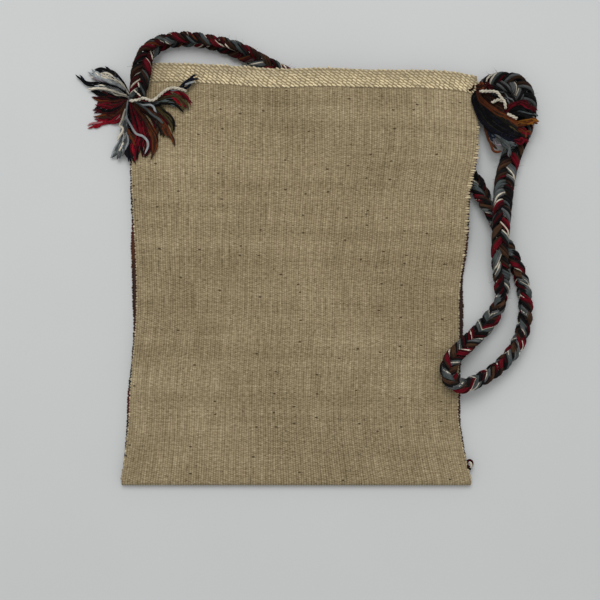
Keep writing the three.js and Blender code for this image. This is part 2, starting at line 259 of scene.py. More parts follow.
def plan(r, h, under):
    """Place on the floor of share r across the cloth (-1 to 1) at h above the fold; the mouth drops to the right."""
    u = np.clip(h / BAG_HEIGHT, 0.0, 1.0)
    x = level(LEANS, u) + r * half_width(u, under, r > 0.0)
    return x, FOLD_Y + h * (1.0 - MOUTH_DROP * r / (2.0 * BAG_HEIGHT)) + mouth_line(r) * ease(u, 0.6, 1.0)


def hump(x, y):
    """Lift of the cloth over the strap: half a cosine wave of the distance to the strap's line."""
    here = np.stack([x, y], -1)[..., None, :]
    start, step = HUMP_LINE[:-1], np.diff(HUMP_LINE, axis=0)
    along = np.clip(((here - start) * step).sum(-1) / (step ** 2).sum(-1), 0.0, 1.0)
    away = np.linalg.norm(here - start - along[..., None] * step, axis=-1).min(-1)
    return HUMP_HEIGHT / 2 * (1.0 + np.cos(np.pi * np.clip(away / HUMP_SPREAD, 0.0, 1.0)))


def gap(r, h):
    """Space between the halves, widest along the middle and closing towards the sides and the fold."""
    return SIDE_GAP + (MIDDLE_GAP - SIDE_GAP) * ease(h, 0.0, 0.3 * BAG_HEIGHT) * (1.0 - np.abs(r) ** 4)


def slack(x, y):
    """Low waves of cloth that isn't stretched: a sum of long sine waves, within about one millimetre."""
    return (0.34 * np.sin(x / 21.0 + 0.6 * np.sin(y / 37.0) + 1.3) + 0.30 * np.sin(y / 17.0 + 0.8 * np.sin(x / 29.0))
            + 0.25 * np.sin((x + 1.6 * y) / 33.0 + 2.1) + 0.12 * np.sin((2.2 * x - y) / 23.0 + 0.4))


def lie(r, h, under):
    """Place of the cloth on the floor: where it climbs it is drawn in, by its lift over DRAW_LENGTH."""
    x, y = plan(r, h, under)
    pull = (hump(x, y) + gap(r, h) - SIDE_GAP) / DRAW_LENGTH
    return blend(x, DRAW_TO[0], pull), blend(y, DRAW_TO[1], pull)


def half_point(r, h, depth, thick, under):
    """Point of one half of the cloth, depth 0 on its inner face and 1 on its outer face."""
    x, y = lie(r, h, under)
    inner = hump(x, y) + CLOTH
    top = inner + gap(r, h) + depth * thick + slack(x, y) * ease(h, 8.0, 60.0)
    return np.stack([x, y, np.where(under > 0.5, inner - depth * thick, top)], -1)


def strip_point(r, s, depth):
    """Point of the folded strip. s runs from STRIP_TOP at the plain mouth, through the half circle of the fold
    between BEND and -BEND, to -STRIP_TOP at the under mouth."""
    turn = np.pi / 2 * (1.0 - np.clip(s / BEND, -1.0, 1.0))
    reach = SIDE_GAP / 2 + depth * CLOTH
    x, y = plan(r, np.full_like(s, BEND), 0.0)
    fold = np.stack([x, y - reach * np.sin(turn), BEND + reach * np.cos(turn)], -1)
    flat = half_point(r, np.maximum(np.abs(s), BEND), depth, CLOTH, (s < 0.0) * 1.0)
    return np.where((np.abs(s) < BEND)[..., None], fold, flat)


# Round the section: RIB_STEPS steps to a rib on the outer face, then back along the inner face.
across_out = np.linspace(-1.0, 1.0, RIB_STEPS * RIBS + 1)
across_in = np.linspace(1.0, -1.0, INNER_STEPS)
across = np.concatenate([across_out, across_in])
rib_depth = 1.0 - RIB_DEPTH / CLOTH * (np.arange(across_out.size) % RIB_STEPS == 0)
depths = np.concatenate([rib_depth, np.full_like(across_in, INNER_DEPTH)])
along = np.concatenate([
    np.linspace(STRIP_TOP, BEND + FOLD_MARGIN, PLAIN_ROWS), BEND * np.linspace(1.0, -1.0, FOLD_ROWS),
    np.linspace(-BEND - FOLD_MARGIN, -STRIP_TOP, UNDER_ROWS)])
R, S = np.meshgrid(across, along)
wobble = 0.0016 * np.sin(S / 19.0 + 7.0 * R) + 0.0012 * np.sin(S / 8.3 - 23.0 * R)
points = strip_point(R + wobble * (1.0 - R ** 8), S, np.broadcast_to(depths, R.shape))


def loop_quads(rows, around):
    """Quads between rows of points that each close on themselves."""
    k = np.arange(around)
    low = np.arange(rows - 1)[:, None] * around
    after = low + (k + 1) % around
    return np.stack([low + k, low + around + k, after + around, after], -1).reshape(-1, 4)


def loop_faces(rows, around):
    """Quads of such rows, and one face over each end."""
    k = np.arange(around)
    return loop_quads(rows, around).tolist() + [k.tolist(), (rows * around - 1 - k).tolist()]


def add_corner_uv(piece, corner_uv):
    """Gives each face corner its own pair of values, as the UV map."""
    layer = piece.data.uv_layers.new(name="UVMap")
    layer.data.foreach_set("uv", np.asarray(corner_uv).astype(np.float32).ravel())


def add_uv(piece, point_uv):
    """Gives each face corner the pair of its point: lengths across and along the cloth, in metres."""
    corner = np.empty(len(piece.data.loops), np.int32)
    piece.data.loops.foreach_get("vertex_index", corner)
    add_corner_uv(piece, np.asarray(point_uv)[corner])


# Cloth colours: beige with streaks along warp and weft, dark burrs and painted shade in the weave's grooves,
# and the under half's broad stripes, darkened with painted shade where they show at the edges.
RIB_PITCH = FLAT_WIDTH / RIBS
WEFT_PITCH = 0.0017
plain_wool, nodes, shader = new_material("plain_wool", 0.95, 0.06)
warp = nodes.node("SeparateXYZ", None, {0: nodes.node("UVMap")})
weft = warp.output(1)


def stretched(wide, high):
    """Place in the cloth, in cycles to a metre across and along it."""
    return nodes.node("CombineXYZ", None, {0: warp * wide, 1: weft * high})


def streaks(wide, high):
    """Noise stretched by its two scales."""
    return nodes.noise(stretched(wide, high), 1.0, 2.0)


ribs = warp / RIB_PITCH
rib_number = nodes.math("FLOOR", ribs)
rib_wave = nodes.math("SINE", (ribs - rib_number) * np.pi)
pick_shift = nodes.math("MODULO", rib_number + 1000.0, 2.0) * 0.5
picks = weft / WEFT_PITCH + pick_shift + streaks(300.0, 60.0) * 0.9
pick_wave = nodes.math("ABSOLUTE", nodes.math("SINE", picks * np.pi))
along_warp = streaks(520.0, 28.0)
along_weft = streaks(34.0, 620.0)
speckle = streaks(300.0, 680.0)
broad = streaks(11.0, 9.0)
stripes = streaks(2.5, 75.0)
# The rib and pick waves make the crests lighter and the grooves darker: painted highlight and shade on the weave.
tone = (along_warp * 0.44 + along_weft * 0.26 + speckle * 0.78 + broad * 0.34 + stripes * 0.24
        + rib_wave * (pick_wave * 0.16 + 0.15) - 0.71)
beige = nodes.ramp(tone, [
    (0.12, tint(90, 77, 53)), (0.38, tint(132, 117, 88)), (0.58, tint(156, 140, 109)), (0.88, tint(197, 182, 148))])


def flecks(wide, high, size, share):
    """Dark specks of vegetable matter spun into the yarn: 1 inside a small part of some cells, 0 elsewhere."""
    speck = nodes.node("TexVoronoi", {"feature": "F1", "voronoi_dimensions": "2D"},
                       {"Vector": stretched(wide, high), "Scale": 1.0})
    pick = nodes.node("SeparateColor", None, {0: speck.output("Color")})
    return nodes.math("LESS_THAN", speck + speckle * 0.06, size) * nodes.math("LESS_THAN", pick, share)


beige = nodes.mix(flecks(55.0, 100.0, 0.100, 0.20) * 0.85, beige, tint(58, 44, 28))
beige = nodes.mix(flecks(130.0, 210.0, 0.13, 0.15) * 0.60, beige, tint(70, 56, 36))
# The under half's dyed stripes, darkened with painted shade: they show only along the bag's shaded edges.
shaded_bands = nodes.ramp(weft * (-1.0 / (BAG_HEIGHT * MM)), [
    (0.000, tint(104, 92, 68)), (0.020, tint(96, 82, 60)), (0.030, tint(46, 32, 22)), (0.150, tint(52, 34, 22)),
    (0.155, tint(66, 22, 18)), (0.225, tint(62, 17, 16)), (0.230, tint(32, 36, 34)), (0.270, tint(34, 38, 36)),
    (0.275, tint(52, 35, 24)), (0.430, tint(50, 27, 14)), (0.435, tint(52, 24, 8)), (0.525, tint(54, 25, 8)),
    (0.530, tint(70, 37, 14)), (0.575, tint(68, 33, 15)), (0.580, tint(68, 27, 20)), (0.620, tint(62, 26, 20)),
    (0.625, tint(38, 34, 33)), (0.670, tint(38, 34, 33)), (0.675, tint(54, 28, 27)), (0.780, tint(50, 27, 25)),
    (0.785, tint(82, 41, 25)), (0.950, tint(82, 41, 25))])
shaded_bands = nodes.mix(0.55, shaded_bands, nodes.ramp(tone, [(0.2, 0.25), (0.9, 1.0)]), "OVERLAY")
cloth_colour = nodes.mix(nodes.math("LESS_THAN", weft, -0.002), beige, shaded_bands)
weave = rib_wave * (pick_wave * 0.45 + 0.30) + speckle * 0.40 + along_weft * 0.10
finish_material(nodes, shader, cloth_colour, weave, 0.0006)

bag_cloth = new_piece("bag_cloth", points.reshape(-1, 3), loop_faces(along.size, across.size), plain_wool)
add_uv(bag_cloth, np.stack([R * FLAT_WIDTH / 2, S * MM], -1).reshape(-1, 2))
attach(bag_cloth, "root")
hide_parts("woven_body")

# Hems: a cream twined band along the mouth of each half, worked over the warp ends with slanted stitches.
# Each band is a flat strip under seven rows of plump stitches that lean down to the right, each row a step on.
HEM_CLOTH, UNDER_LET_IN = 2.9, 0.28
HEM_STEPS, HEM_ROWS = 121, 5
STITCH_ROWS, STITCHES, ROW_STEP = 7, 74, 0.84
STITCH_HALF, STITCH_SIDE, STITCH_RISE, STITCH_DEPTH = 2.25, 0.90, 0.86, 0.80
STITCH_LEAN, LEAN_SHAKE = -30.0, 4.5
CREAM, DULL_CREAM, BAND_SHADE = np.array([tint(217, 201, 164), tint(166, 152, 121), tint(152, 136, 104)])
chance = np.random.default_rng(7)


def unit(vectors):
    """Vectors of length one."""
    return vectors / np.maximum(np.linalg.norm(vectors, axis=-1, keepdims=True), 1e-9)


def spindles(centres, lengthways, sideways, upward, rings=4, around=6):
    """Plump stitches: centre + cos(a) lengthways + sin(a)^0.8 (cos(b) sideways + sin(b) upward), closed at both tips.
    Returns points, faces and the number of points in each stitch."""
    a = np.linspace(0.0, np.pi, rings + 2)[1:-1, None, None]
    b = np.linspace(0.0, 2 * np.pi, around, endpoint=False)[None, :, None]
    ring = np.cos(b) * sideways[:, None, None] + np.sin(b) * upward[:, None, None]
    body = np.cos(a) * lengthways[:, None, None] + np.sin(a) ** 0.8 * ring
    count = len(centres)
    each = np.concatenate([(centres + lengthways)[:, None], (centres[:, None, None] + body).reshape(count, -1, 3),
                           (centres - lengthways)[:, None]], axis=1)
    size = rings * around + 2
    k = np.arange(around)
    turn = (k + 1) % around
    last_ring = 1 + (rings - 1) * around
    first = np.stack([np.zeros(around, int), 1 + k, 1 + turn], -1)
    last = np.stack([np.full(around, size - 1), last_ring + turn, last_ring + k], -1)
    shift = size * np.arange(count)[:, None, None]
    tips = np.concatenate([first + shift, last + shift]).reshape(-1, 3)
    sides = (1 + loop_quads(rings, around) + shift).reshape(-1, 4)
    return each.reshape(-1, 3), tips.tolist() + sides.tolist(), size


def add_colours(piece, colours):
    """Colour of each point, in linear light, as the attribute yarn_colour."""
    flat = np.ones((len(piece.data.vertices), 4), np.float32)
    flat[:, :3] = colours
    piece.data.color_attributes.new("yarn_colour", "FLOAT_COLOR", "POINT").data.foreach_set("color", flat.ravel())


cream_wool, nodes, shader = new_material("cream_wool", 0.95, 0.2)
dyed = nodes.node("Attribute", {"attribute_name": "yarn_colour"})
place = nodes.node("TexCoord", out=3)
fleece = nodes.noise(place, 900.0, 3.0)
clumps = nodes.noise(place, 130.0, 2.0)
worn_fleece = nodes.ramp(fleece * 0.6 + clumps * 0.4, [
    (0.25, (0.62, 0.60, 0.56)), (0.5, (0.95, 0.95, 0.94)), (0.8, (1.25, 1.24, 1.2))])
finish_material(nodes, shader, nodes.mix(1.0, dyed, worn_fleece, "MULTIPLY"), fleece, 0.0004)


def hem_point(r, h, depth, under):
    """Point of a hem: the under one is let in so that it doesn't stand below the cloth."""
    return half_point(r, h, depth - UNDER_LET_IN * under, HEM_CLOTH, under)


def hem_band(name, under):
    """Flat closed strip of the band: a loop of outer and inner points in each of its rows up the hem."""
    r = np.concatenate([np.linspace(-1.0, 1.0, HEM_STEPS), np.linspace(1.0, -1.0, HEM_STEPS)])
    depth = np.repeat([0.74, 0.32 * under + 0.03], HEM_STEPS)
    rise = np.linspace(BAG_HEIGHT, BAG_HEIGHT - HEM_HEIGHT, HEM_ROWS)
    rise = rise[::-1] if under else rise
    grid_r, grid_h = np.meshgrid(r, rise)
    flat = hem_point(grid_r, grid_h, np.broadcast_to(depth, grid_r.shape), np.full_like(grid_r, float(under)))
    band = new_piece(name, flat.reshape(-1, 3), loop_faces(rise.size, r.size), cream_wool)
    add_colours(band, np.broadcast_to(BAND_SHADE, (flat.size // 3, 3)))
    return band


def hem_stitches(name, under):
    """Rows of stitches on the band, each lying along a slant of the surface, jittered as handwork is. They are duller
    to the left, and darker along the mouth's edge."""
    row, column = [g.ravel() for g in np.meshgrid(np.arange(STITCH_ROWS), np.arange(STITCHES), indexing="ij")]
    count = row.size
    shake = chance.normal(0.0, 1.0, (count, 5))
    share = (row + 0.45) / STITCH_ROWS
    h = BAG_HEIGHT - HEM_HEIGHT * share + 0.12 * shake[:, 0] + np.where(row == 0, 0.6 * np.abs(shake[:, 3]), 0.0)
    r = -1.0 + 2.0 * ((column + 0.25 + ROW_STEP * row) % STITCHES + 0.06 * shake[:, 1]) / STITCHES
    side = np.full(count, float(under))
    out = np.full(count, STITCH_DEPTH)
    at = hem_point(r, h, out, side)
    across = unit(hem_point(r + 0.004, h, out, side) - at)
    up = unit(hem_point(r, h + 0.6, out, side) - at)
    face = np.cross(across, up) * (-1.0 if under else 1.0)
    lean = np.radians(STITCH_LEAN + LEAN_SHAKE * shake[:, 2])[:, None]
    lengthways = np.cos(lean) * across + np.sin(lean) * up
    sideways = np.cross(face, lengthways)
    plump = (1.0 + 0.12 * shake[:, 4])[:, None]
    mesh, faces, size = spindles(
        at, STITCH_HALF * plump * lengthways, STITCH_SIDE * sideways, STITCH_RISE * plump * face)
    mesh[:, 2] = np.maximum(mesh[:, 2], 0.0)
    stitches = new_piece(name, mesh, faces, cream_wool)
    fade = ease(at[:, 0], -150.0, -100.0) * 0.7 + 0.3
    fade = fade * (1.0 - 0.45 * ease(share, 0.45, 1.0) * ease(-at[:, 0], 70.0, 130.0))
    darker_at_mouth = blend(0.80, 1.08, ease(share, 0.05, 0.75))[:, None]
    colour = blend(DULL_CREAM, CREAM, fade[:, None]) * darker_at_mouth * (1.0 + 0.10 * chance.normal(0.0, 1.0, (count, 1)))
    add_colours(stitches, np.repeat(np.clip(colour, 0.02, 1.0), size, axis=0))
    return stitches


hem_pieces = []
for node, under in (("front_hem", 0), ("back_hem", 1)):
    band = hem_band(node + "_band", under)
    stitches = hem_stitches(node + "_stitches", under)
    for piece in (band, stitches):
        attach(piece, "root")
        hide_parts(node)
    hem_pieces += [band, stitches]

# Selvedges: along both sides the weft turns back in small loops, cream on the plain half, banded on the under one.
# The side seams join the halves just inside these edges with slanted stitches of beige yarn.
EDGE_FOOT, EDGE_PITCH, EDGE_STAGGER = 6.0, 2.3, 0.4
LOOP_REACH, LOOP_SIDE, LOOP_RISE = 1.25, 1.15, 1.12
FRINGE_FOOT, FRINGE_TOP = (185.0, 225.0), (316.0, 328.0)
EDGE_WARP = 0.1445
SEAM_FOOT, SEAM_PITCH, SEAM_INSET = 17.0, 3.4, 2.4
SEAM_SLANT, SEAM_YARN = 0.9, 0.9


def edge_loops(name, under):
    """Row of plump weft turns down both edges of one half, each a spindle across the edge. At the right of the plain
    half, those between the fringe's foot and top stick out by chance."""
    h = np.arange(EDGE_FOOT, STRIP_TOP - 1.0, EDGE_PITCH)
    h = np.concatenate([h, h + EDGE_STAGGER * EDGE_PITCH])
    side = np.repeat([-1.0, 1.0], h.size // 2)
    count = h.size
    shake = chance.normal(0.0, 1.0, (count, 4))
    h = h + 0.3 * shake[:, 0]
    fringe = (side > 0.0) * ease(h, *FRINGE_FOOT) * (1.0 - ease(h, *FRINGE_TOP)) * (1.0 - under)
    at = half_point(side, h, 0.5 + 0.4 * fringe, CLOTH, np.full(count, float(under)))
    at[:, 0] += side * 0.15 * shake[:, 1]
    reach = LOOP_REACH + 0.15 * shake[:, 2] + fringe * np.clip(0.4 + 0.7 * shake[:, 3], 0.0, 1.5)
    mesh, faces, size = spindles(at, np.outer(reach, (1, 0, 0)), np.outer(LOOP_SIDE - 0.2 * fringe, (0, 1, 0)),
                                 np.outer(np.full(count, LOOP_RISE), (0, 0, 1)))
    loops = new_piece(name, mesh, faces, plain_wool if under else cream_wool)
    where = np.stack([side * EDGE_WARP + 0.0004 * shake[:, 3], np.where(under, -h, h) * MM], -1)
    spread = (mesh - np.repeat(at, size, axis=0))[:, :2] * MM
    add_uv(loops, np.repeat(where, size, axis=0) + spread)
    pale = np.clip(0.10 + 0.35 * shake[:, 3] + 0.25 * ease(h, 170.0, 250.0) * (side > 0.0), 0.0, 1.0)[:, None]
    add_colours(loops, np.repeat(blend(BAND_SHADE, CREAM, pale), size, axis=0))
    return loops


def seam_stitches(name, side):
    """Row of stitches along one seam: spindles that each span the gap between the halves and lean up the seam."""
    h = np.arange(SEAM_FOOT, STRIP_TOP - 2.0, SEAM_PITCH)
    h = h + chance.normal(0.0, 0.3, h.size)
    u = h / BAG_HEIGHT
    plain, banded = [half_width(u, under, side > 0.0) for under in (0.0, 1.0)]
    reach = side * (plain - SEAM_INSET)
    flat = np.zeros_like(h)
    top = half_point(reach / plain, h + SEAM_SLANT, flat, CLOTH, flat)
    low = half_point(reach / banded, h - SEAM_SLANT, flat, CLOTH, flat + 1.0)
    lengthways = unit(top - low)
    upward = unit(np.array([0.0, 1.0, 0.0]) - lengthways[:, 1:2] * lengthways)
    mesh, faces, _ = spindles((top + low) / 2, 0.62 * (top - low), SEAM_YARN * upward,
                              SEAM_YARN * np.cross(lengthways, upward))
    stitches = new_piece(name, mesh, faces, cream_wool)
    add_colours(stitches, np.broadcast_to(0.55 * BAND_SHADE, mesh.shape))
    return stitches


edge_pieces = [edge_loops("plain_selvedges", 0), edge_loops("banded_selvedges", 1),
               seam_stitches("left_seam_stitches", -1.0), seam_stitches("right_seam_stitches", 1.0)]
for piece in edge_pieces:
    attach(piece, "root")
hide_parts("left_seam")
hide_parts("right_seam")

# Strap: a flat three-strand braid of mixed wool yarns, sewn to both mouth corners.
# It leaves the left corner, dips under the bag, loops beside it, crosses over itself and comes to the right corner.
# Turn of the braid's flat face at stations of the route: 0 lies flat, 90 stands on its edge.
STRAP_TURN = np.array([
    (0, 0), (1.5, 0), (2, 20), (3, 65), (4, 85), (6, 85), (7, 50), (8, 0), (11.6, 0), (12.4, -30), (13.2, -75),
    (15, -90), (20, -100), (21.5, -130), (23, -180), (24.5, -195), (26, -270), (27.5, -340), (28.5, -360),
    (38, -360)], float)
STRAP_RADIUS, BRAID_WIDTH = 7.5, 0.017
BRAID_STEPS, BRAID_PERIOD, CURVE_STEPS = 540, 33.0, 24
STRANDS, SOFT_YARNS = 3, 8
STRAND_SWING, STRAND_DIP, STRAND_TWIST = 6.2, 3.0, 83.0
STRAND_HALF, STRAND_THICK = 3.4, 1.45
YARN_RADIUS, PALE_RADIUS, PALE_REACH = 1.22, 0.92, 1.17
BROAD_HALF, FLAT_HALF = 8.1, 5.8
LEFT_SWELL, ARCH_SWELL, END_SWELL, PRESSED = 0.20, 0.18, 0.10, 0.55
LEFT_SHADE, ARCH_SHADE = 0.82, 0.72
STRAP_HAIRS, HAIR_STEPS, HAIR_RADIUS, SHORT_HAIR, HAIR_RANGE = 2600, 5, 0.12, 2.4, 3.2


def distance(paths):
    """Distance of each point from the start of its path."""
    steps = np.linalg.norm(np.diff(paths, axis=-2), axis=-1)
    return np.concatenate([np.zeros_like(steps[..., :1]), np.cumsum(steps, axis=-1)], axis=-1)


def smooth_path(stations, count):
    """Curve through the stations: each step is a cubic whose end slopes are half the step between its neighbours.
    It is resampled at even distances; the second result is each sample's station number."""
    p = np.asarray(stations, float)
    p = np.vstack([2 * p[0] - p[1], p, 2 * p[-1] - p[-2]])
    a, b, c, d = [q[:, None, :] for q in (p[:-3], p[1:-2], p[2:-1], p[3:])]
    t = np.linspace(0.0, 1.0, CURVE_STEPS, endpoint=False)[None, :, None]
    fine = 0.5 * (2 * b + (c - a) * t + (2 * a - 5 * b + 4 * c - d) * t ** 2 + (3 * b - a - 3 * c + d) * t ** 3)
    fine = np.vstack([fine.reshape(-1, p.shape[1]), p[-2]])
    number = np.arange(len(fine)) / CURVE_STEPS
    run = distance(fine)
    even = np.linspace(0.0, run[-1], count)
    return np.stack([np.interp(even, run, column) for column in fine.T], -1), np.interp(even, run, number)


def side_and_lift(paths):
    """Level side and lift of each point of some paths, both square to the path."""
    aim = unit(np.gradient(paths, axis=1))
    side = unit(np.cross(aim, (0.0, 0.0, 1.0)) + np.array([1e-4, 0.0, 0.0]))
    return side, np.cross(side, aim)


def tubes(paths, radii, sides):
    """Yarns: rings of points round each path, in the plane of its level side and its lift, with a face over each end.
    Returns points, faces and, for each face corner, the share round the yarn and the length along it in metres."""
    count, steps = paths.shape[:2]
    side, lift = side_and_lift(paths)
    b = np.linspace(0.0, 2 * np.pi, sides, endpoint=False)[:, None]
    ring = np.cos(b) * side[:, :, None] + np.sin(b) * lift[:, :, None]
    mesh = paths[:, :, None] + np.broadcast_to(radii, (count, steps))[:, :, None, None] * ring
    k = np.arange(sides)
    whole = np.arange(count)[:, None] * steps * sides
    quads = (loop_quads(steps, sides) + whole[..., None]).reshape(-1, 4)
    caps = np.concatenate([whole + k, whole + steps * sides - 1 - k])
    run = distance(paths)[:, :, None, None] * MM
    length = np.broadcast_to(np.concatenate([run[:, :-1], run[:, 1:], run[:, 1:], run[:, :-1]], -1),
                             (count, steps - 1, sides, 4))
    share = np.broadcast_to(np.stack([k, k, k + 1, k + 1], -1) / sides, length.shape)
    corner = np.stack([share, length], -1).reshape(-1, 2)
    return mesh.reshape(-1, 3), quads.tolist() + caps.tolist(), np.vstack([corner, np.zeros((caps.size, 2))])


YARNS = {
    "red": (98, 11, 25), "scarlet": (128, 15, 29), "wine": (56, 7, 13), "rust": (90, 45, 21),
    "umber": (44, 20, 12), "brown": (52, 34, 24), "ochre": (128, 80, 22), "grey": (90, 91, 92),
    "teal": (72, 80, 79), "tan": (72, 50, 35), "coal": (21, 19, 19), "black": (9, 9, 11), "navy": (13, 15, 27),
    "blue": (17, 29, 46), "cream": (208, 200, 182), "pale": (146, 151, 153), "olive": (64, 58, 31),
    "moss": (31, 31, 21), "lilac": (124, 115, 122), "pink": (162, 108, 112)}
LEFT_YARNS = (
    "red umber wine red umber brown wine red cream "
    "teal grey teal coal wine coal brown teal cream "
    "wine umber brown coal teal coal rust wine cream")
BRAID_YARNS = (
    "red wine red red brown coal coal wine cream "
    "teal grey teal teal coal black wine coal cream "
    "grey teal grey coal tan tan brown coal cream")
ARCH_YARNS = (
    "wine coal grey coal grey brown coal teal cream "
    "teal grey grey coal coal black red coal cream "
    "grey coal teal coal black brown grey coal cream")


def dyes(names):
    """Colours of the yarns named."""
    return np.array([tint(*YARNS[name]) for name in names.split()])


centre, station = smooth_path(STRAP_ROUTE, BRAID_STEPS)
turn = np.radians(np.interp(station, STRAP_TURN[:, 0], STRAP_TURN[:, 1]))
strap_run = distance(centre)
run_end = strap_run[-1]
swell = (1.0 + LEFT_SWELL * bell(strap_run, 22.0, 12.0)
         + ARCH_SWELL * ease(strap_run, run_end - 190.0, run_end - 120.0)
         + END_SWELL * ease(strap_run, run_end - 75.0, run_end - 50.0))
pressed = PRESSED + (1.0 - PRESSED) * ease(strap_run, 0.0, 18.0) * ease(run_end - strap_run, 0.0, 14.0)
stands = np.sqrt((BROAD_HALF * np.sin(turn)) ** 2 + (FLAT_HALF * pressed * np.cos(turn)) ** 2) * swell
stands = stands + 0.9 * np.abs(np.sin(2 * turn))
over_itself = 1.6 * bell(station, 29.3, 1.1)
centre[:, 2] = np.maximum(centre[:, 2] + stands - STRAP_RADIUS + over_itself, stands + 0.35)
centre[:, 2] = np.convolve(np.pad(centre[:, 2], 5, "edge"), np.full(11, 1.0 / 11.0), "valid")
strap_aim = unit(np.gradient(centre, axis=0))
level_side = unit(np.cross((0.0, 0.0, 1.0), strap_aim))
level_lift = np.cross(strap_aim, level_side)
broadside = np.cos(turn)[:, None] * level_side + np.sin(turn)[:, None] * level_lift
facing = -np.sin(turn)[:, None] * level_side + np.cos(turn)[:, None] * level_lift

# Each strand weaves as swing sin(t) across and dip sin(2t) through, a third of a period apart.
# It is a flat ribbon of eight soft yarns and a thin pale one: each is set off along the braid by STRAND_HALF cos(a)
# and through it by STRAND_THICK sin(a), and a turns slowly, so that each yarn comes to the top by turns.
place_in_strand = np.radians(np.append(np.arange(SOFT_YARNS) * 360.0 / SOFT_YARNS, 22.0))[None, :, None]
reach_in_strand = np.append(np.ones(SOFT_YARNS), PALE_REACH)[None, :, None]
strand_start = np.array([0.0, 2.1, 4.4])[:, None, None]
yarn_turn = place_in_strand + strand_start + 2 * np.pi * strap_run / STRAND_TWIST
set_off = STRAND_HALF * reach_in_strand * np.cos(yarn_turn)
t = 2 * np.pi * (strap_run + set_off) / BRAID_PERIOD + 2 * np.pi / STRANDS * np.arange(STRANDS)[:, None, None]
across = STRAND_SWING * np.sin(t) * swell
through = (STRAND_THICK * reach_in_strand * np.sin(yarn_turn) - STRAND_DIP * np.sin(2 * t)) * swell * pressed
yarn_paths = centre + across[..., None] * broadside + through[..., None] * facing
yarn_paths = yarn_paths.reshape(-1, BRAID_STEPS, 3)
yarn_radii = np.tile([YARN_RADIUS] * SOFT_YARNS + [PALE_RADIUS], STRANDS)[:, None] * swell

# Wool yarn: softly spun, its fibres in streaks that wind slowly round it, with a heathered colour and some nap.
FIBRE_TWIST, FIBRE_ROUND, FIBRE_RUN = 0.016, 1.5, 120.0
mixed_wool, nodes, shader = new_material("mixed_wool", 1.0, 0.02, 0.06)
dyed = nodes.node("Attribute", {"attribute_name": "yarn_colour"})
yarn_uv = nodes.node("SeparateXYZ", None, {0: nodes.node("UVMap")})
run_along = yarn_uv.output(1)
fibre_turn = (yarn_uv + run_along / FIBRE_TWIST) * (2 * np.pi)
fibre_place = nodes.node("CombineXYZ", None, {
    0: nodes.math("COSINE", fibre_turn) * FIBRE_ROUND, 1: nodes.math("SINE", fibre_turn) * FIBRE_ROUND,
    2: run_along * FIBRE_RUN})
fibres = nodes.noise(fibre_place, 1.0, 4.0, Roughness=0.65)
patches = nodes.noise(nodes.node("TexCoord", out=3), 190.0, 2.0)
wear = nodes.ramp(fibres * 0.65 + patches * 0.35, [(0.28, 0.36), (0.5, 0.90), (0.74, 1.5)])
finish_material(nodes, shader, nodes.mix(1.0, dyed, wear, "MULTIPLY"), fibres, 0.0009)


def yarn_piece(name, paths, radii, sides, colours):
    """Tubes along equal-count paths, with a colour for each path or for each of its points."""
    mesh, faces, corners = tubes(paths, radii, sides)
    piece = new_piece(name, mesh, faces, mixed_wool)
    add_corner_uv(piece, corners)
    each = np.broadcast_to(np.reshape(colours, (len(paths), -1, 3)), paths.shape)
    add_colours(piece, np.repeat(each.reshape(-1, 3), sides, axis=0))
    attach(piece, "root")
    return piece


def nap(name, paths, colours, count):
    """Loose fibres that stand off the yarns: thin bent hairs from random points of their paths, greyer than these."""
    yarn = chance.integers(0, len(paths), count)
    step = chance.integers(2, paths.shape[1] - 2, count)
    root = paths[yarn, step]
    away = unit(chance.normal(0.0, 1.0, (count, 3)) * (1.0, 1.0, 0.7) + (0.0, 0.0, 0.35))
    bend = unit(chance.normal(0.0, 1.0, (count, 3)))
    share = np.linspace(0.0, 1.0, HAIR_STEPS)[:, None]
    length = SHORT_HAIR + HAIR_RANGE * chance.random((count, 1, 1))
    hairs = root[:, None] + length * (share * away[:, None] + 0.4 * share ** 2 * bend[:, None])
    hairs[..., 2] = np.maximum(hairs[..., 2], 0.2)
    faded = blend(colours[yarn, step], np.array(tint(118, 110, 102)), 0.3)
    return yarn_piece(name, hairs, HAIR_RADIUS * np.linspace(1.0, 0.4, HAIR_STEPS), 3, faded)


# Rust and red yarns are spliced in at the left, darker ones for the arch at the right corner.
left, middle, arched = [dyes(names)[:, None] for names in (LEFT_YARNS, BRAID_YARNS, ARCH_YARNS)]
braid_colours = blend(LEFT_SHADE * left, middle, ease(strap_run, 130.0, 170.0)[:, None])
arch_share = ease(strap_run, run_end - 100.0, run_end - 75.0)[:, None]
braid_colours = blend(braid_colours, ARCH_SHADE * arched, arch_share)
strap_braid = yarn_piece("strap_braid", yarn_paths, yarn_radii, 6, braid_colours)
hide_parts("strap")
strap_nap = nap("strap_nap", yarn_paths, braid_colours, STRAP_HAIRS)

